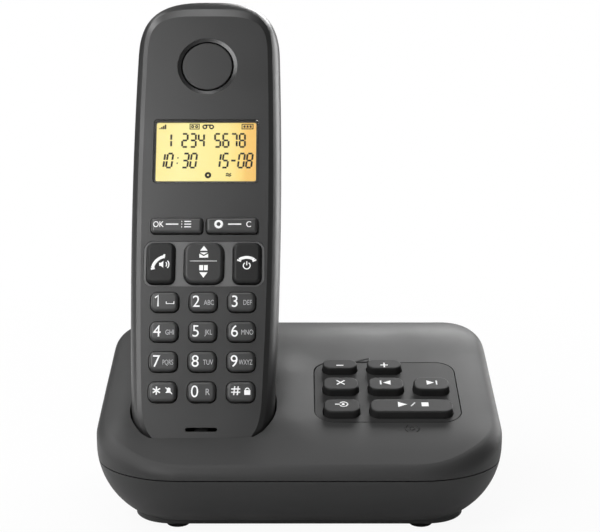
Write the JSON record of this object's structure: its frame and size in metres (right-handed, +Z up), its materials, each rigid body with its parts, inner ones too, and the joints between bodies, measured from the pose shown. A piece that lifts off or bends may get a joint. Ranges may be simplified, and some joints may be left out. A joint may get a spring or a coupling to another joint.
{
  "type": "answering machine with cordless handset",
  "caption": "Low telephone base with message keys and a cordless handset standing in its cradle, lit display and number keys on the handset.",
  "frame": {"origin": "on the desk surface under the centre of the base's outline", "axes": "+X to the user's right, +Y away from the user, +Z up"},
  "size_m": [0.1284, 0.1045, 0.1615],
  "materials": {
    "base_housing": "satin moulded plastic, dark anthracite",
    "base_key": "satin moulded plastic",
    "handset_housing": "satin moulded plastic",
    "handset_key": "moulded key caps",
    "key_plate": "painted grey",
    "window": "clear acrylic",
    "lcd": "lit amber display",
    "backlight": "translucent light guide",
    "silicone": "silicone rubber",
    "foot_rubber": "soft rubber",
    "board": "glass-fibre board with green solder mask",
    "speaker_frame": "black coated steel",
    "socket_plastic": "moulded plastic",
    "gold_contact": "gold plated",
    "plated_steel": "nickel plated",
    "antenna_sheet": "tinned sheet",
    "cell_sleeve": "printed cell sleeve"
  },
  "bodies": {
    "base": {"base_top_cover": "base_housing", "base_bottom_shell": "base_housing", "key_panel": "base_housing", "base_keymat": "silicone", "key_circuit_board": "board", "base_circuit_board": "board", "base_speaker": "speaker_frame", "line_socket": "socket_plastic", "power_socket": "socket_plastic", "socket_contacts": "gold_contact", "base_antennas": "antenna_sheet", "base_feet": "foot_rubber", "base_screws": "plated_steel", "contact_spring_left": "plated_steel", "contact_spring_right": "plated_steel", "contact_carrier": "socket_plastic"},
    "handset": {"handset_front_cover": "handset_housing", "handset_rear_cover": "handset_housing", "battery_cells": "cell_sleeve", "battery_contacts": "plated_steel", "display_window": "window", "lcd_panel": "lcd", "lcd_backlight": "backlight", "earpiece_disc": "handset_housing", "earpiece_speaker": "speaker_frame", "function_key_plate": "key_plate", "handset_keymat": "silicone", "handset_circuit_board": "board", "handset_antenna": "antenna_sheet", "handset_microphone": "speaker_frame", "ringer_speaker": "speaker_frame", "handset_charging_pads": "gold_contact", "handset_screws": "plated_steel"},
    "battery_door": {"battery_door": "handset_housing"},
    "charging_contact_left": {"charging_contact_left": "plated_steel"},
    "charging_contact_right": {"charging_contact_right": "plated_steel"},
    "key_volume_down": {"key_volume_down": "base_key"},
    "key_volume_up": {"key_volume_up": "base_key"},
    "key_delete": {"key_delete": "base_key"},
    "key_previous": {"key_previous": "base_key"},
    "key_next": {"key_next": "base_key"},
    "key_paging": {"key_paging": "base_key"},
    "key_play_stop": {"key_play_stop": "base_key"},
    "softkey_left": {"softkey_left": "handset_key"},
    "softkey_right": {"softkey_right": "handset_key"},
    "talk_key": {"talk_key": "handset_key"},
    "navigation_key": {"navigation_key": "handset_key"},
    "end_key": {"end_key": "handset_key"},
    "key_1": {"key_1": "handset_key"},
    "key_2": {"key_2": "handset_key"},
    "key_3": {"key_3": "handset_key"},
    "key_4": {"key_4": "handset_key"},
    "key_5": {"key_5": "handset_key"},
    "key_6": {"key_6": "handset_key"},
    "key_7": {"key_7": "handset_key"},
    "key_8": {"key_8": "handset_key"},
    "key_9": {"key_9": "handset_key"},
    "key_star": {"key_star": "handset_key"},
    "key_0": {"key_0": "handset_key"},
    "key_hash": {"key_hash": "handset_key"}
  },
  "joints": [
    {"name": "handset_lift", "type": "slide", "parent": "base", "child": "handset", "axis": [0, 0.4179, 0.9085], "range_m": [0, 0.08]},
    {"name": "battery_door_pull", "type": "slide", "parent": "handset", "child": "battery_door", "axis": [0, 0.9085, -0.4179], "range_m": [0, 0.008]},
    {"name": "charging_contact_left_press", "type": "slide", "parent": "base", "child": "charging_contact_left", "axis": [0, -0.4179, -0.9085], "range_m": [0, 0.0008], "stiffness_N_per_m": 300, "springref_m": -0.002, "deforming": ["contact_spring_left"]},
    {"name": "charging_contact_right_press", "type": "slide", "parent": "base", "child": "charging_contact_right", "axis": [0, -0.4179, -0.9085], "range_m": [0, 0.0008], "stiffness_N_per_m": 300, "springref_m": -0.002, "deforming": ["contact_spring_right"]},
    {"name": "key_volume_down_press", "type": "slide", "parent": "base", "child": "key_volume_down", "axis": [0, 0.3007, -0.9537], "range_m": [0, 0.0008], "stiffness_N_per_m": 400, "springref_m": -0.001},
    {"name": "key_volume_up_press", "type": "slide", "parent": "base", "child": "key_volume_up", "axis": [0, 0.3007, -0.9537], "range_m": [0, 0.0008], "stiffness_N_per_m": 400, "springref_m": -0.001},
    {"name": "key_delete_press", "type": "slide", "parent": "base", "child": "key_delete", "axis": [0, 0.3007, -0.9537], "range_m": [0, 0.0008], "stiffness_N_per_m": 400, "springref_m": -0.001},
    {"name": "key_previous_press", "type": "slide", "parent": "base", "child": "key_previous", "axis": [0, 0.3007, -0.9537], "range_m": [0, 0.0008], "stiffness_N_per_m": 400, "springref_m": -0.001},
    {"name": "key_next_press", "type": "slide", "parent": "base", "child": "key_next", "axis": [0, 0.3007, -0.9537], "range_m": [0, 0.0008], "stiffness_N_per_m": 400, "springref_m": -0.001},
    {"name": "key_paging_press", "type": "slide", "parent": "base", "child": "key_paging", "axis": [0, 0.3007, -0.9537], "range_m": [0, 0.0008], "stiffness_N_per_m": 400, "springref_m": -0.001},
    {"name": "key_play_stop_press", "type": "slide", "parent": "base", "child": "key_play_stop", "axis": [0, 0.3007, -0.9537], "range_m": [0, 0.0008], "stiffness_N_per_m": 400, "springref_m": -0.001},
    {"name": "softkey_left_press", "type": "slide", "parent": "handset", "child": "softkey_left", "axis": [0, 0.9085, -0.4179], "range_m": [0, 0.0005], "stiffness_N_per_m": 400, "springref_m": -0.001},
    {"name": "softkey_right_press", "type": "slide", "parent": "handset", "child": "softkey_right", "axis": [0, 0.9085, -0.4179], "range_m": [0, 0.0005], "stiffness_N_per_m": 400, "springref_m": -0.001},
    {"name": "talk_key_press", "type": "slide", "parent": "handset", "child": "talk_key", "axis": [0, 0.9085, -0.4179], "range_m": [0, 0.0005], "stiffness_N_per_m": 400, "springref_m": -0.001},
    {"name": "navigation_key_rock", "type": "hinge", "parent": "handset", "child": "navigation_key", "pos_m": [-0.0304, -0.01196, 0.07844], "axis": [1, 0, 0], "range_deg": [-3.5, 3.5], "stiffness_Nm_per_rad": 0.02},
    {"name": "end_key_press", "type": "slide", "parent": "handset", "child": "end_key", "axis": [0, 0.9085, -0.4179], "range_m": [0, 0.0005], "stiffness_N_per_m": 400, "springref_m": -0.001},
    {"name": "key_1_press", "type": "slide", "parent": "handset", "child": "key_1", "axis": [0, 0.9085, -0.4179], "range_m": [0, 0.0005], "stiffness_N_per_m": 400, "springref_m": -0.001},
    {"name": "key_2_press", "type": "slide", "parent": "handset", "child": "key_2", "axis": [0, 0.9085, -0.4179], "range_m": [0, 0.0005], "stiffness_N_per_m": 400, "springref_m": -0.001},
    {"name": "key_3_press", "type": "slide", "parent": "handset", "child": "key_3", "axis": [0, 0.9085, -0.4179], "range_m": [0, 0.0005], "stiffness_N_per_m": 400, "springref_m": -0.001},
    {"name": "key_4_press", "type": "slide", "parent": "handset", "child": "key_4", "axis": [0, 0.9085, -0.4179], "range_m": [0, 0.0005], "stiffness_N_per_m": 400, "springref_m": -0.001},
    {"name": "key_5_press", "type": "slide", "parent": "handset", "child": "key_5", "axis": [0, 0.9085, -0.4179], "range_m": [0, 0.0005], "stiffness_N_per_m": 400, "springref_m": -0.001},
    {"name": "key_6_press", "type": "slide", "parent": "handset", "child": "key_6", "axis": [0, 0.9085, -0.4179], "range_m": [0, 0.0005], "stiffness_N_per_m": 400, "springref_m": -0.001},
    {"name": "key_7_press", "type": "slide", "parent": "handset", "child": "key_7", "axis": [0, 0.9085, -0.4179], "range_m": [0, 0.0005], "stiffness_N_per_m": 400, "springref_m": -0.001},
    {"name": "key_8_press", "type": "slide", "parent": "handset", "child": "key_8", "axis": [0, 0.9085, -0.4179], "range_m": [0, 0.0005], "stiffness_N_per_m": 400, "springref_m": -0.001},
    {"name": "key_9_press", "type": "slide", "parent": "handset", "child": "key_9", "axis": [0, 0.9085, -0.4179], "range_m": [0, 0.0005], "stiffness_N_per_m": 400, "springref_m": -0.001},
    {"name": "key_star_press", "type": "slide", "parent": "handset", "child": "key_star", "axis": [0, 0.9085, -0.4179], "range_m": [0, 0.0005], "stiffness_N_per_m": 400, "springref_m": -0.001},
    {"name": "key_0_press", "type": "slide", "parent": "handset", "child": "key_0", "axis": [0, 0.9085, -0.4179], "range_m": [0, 0.0005], "stiffness_N_per_m": 400, "springref_m": -0.001},
    {"name": "key_hash_press", "type": "slide", "parent": "handset", "child": "key_hash", "axis": [0, 0.9085, -0.4179], "range_m": [0, 0.0005], "stiffness_N_per_m": 400, "springref_m": -0.001}
  ]
}
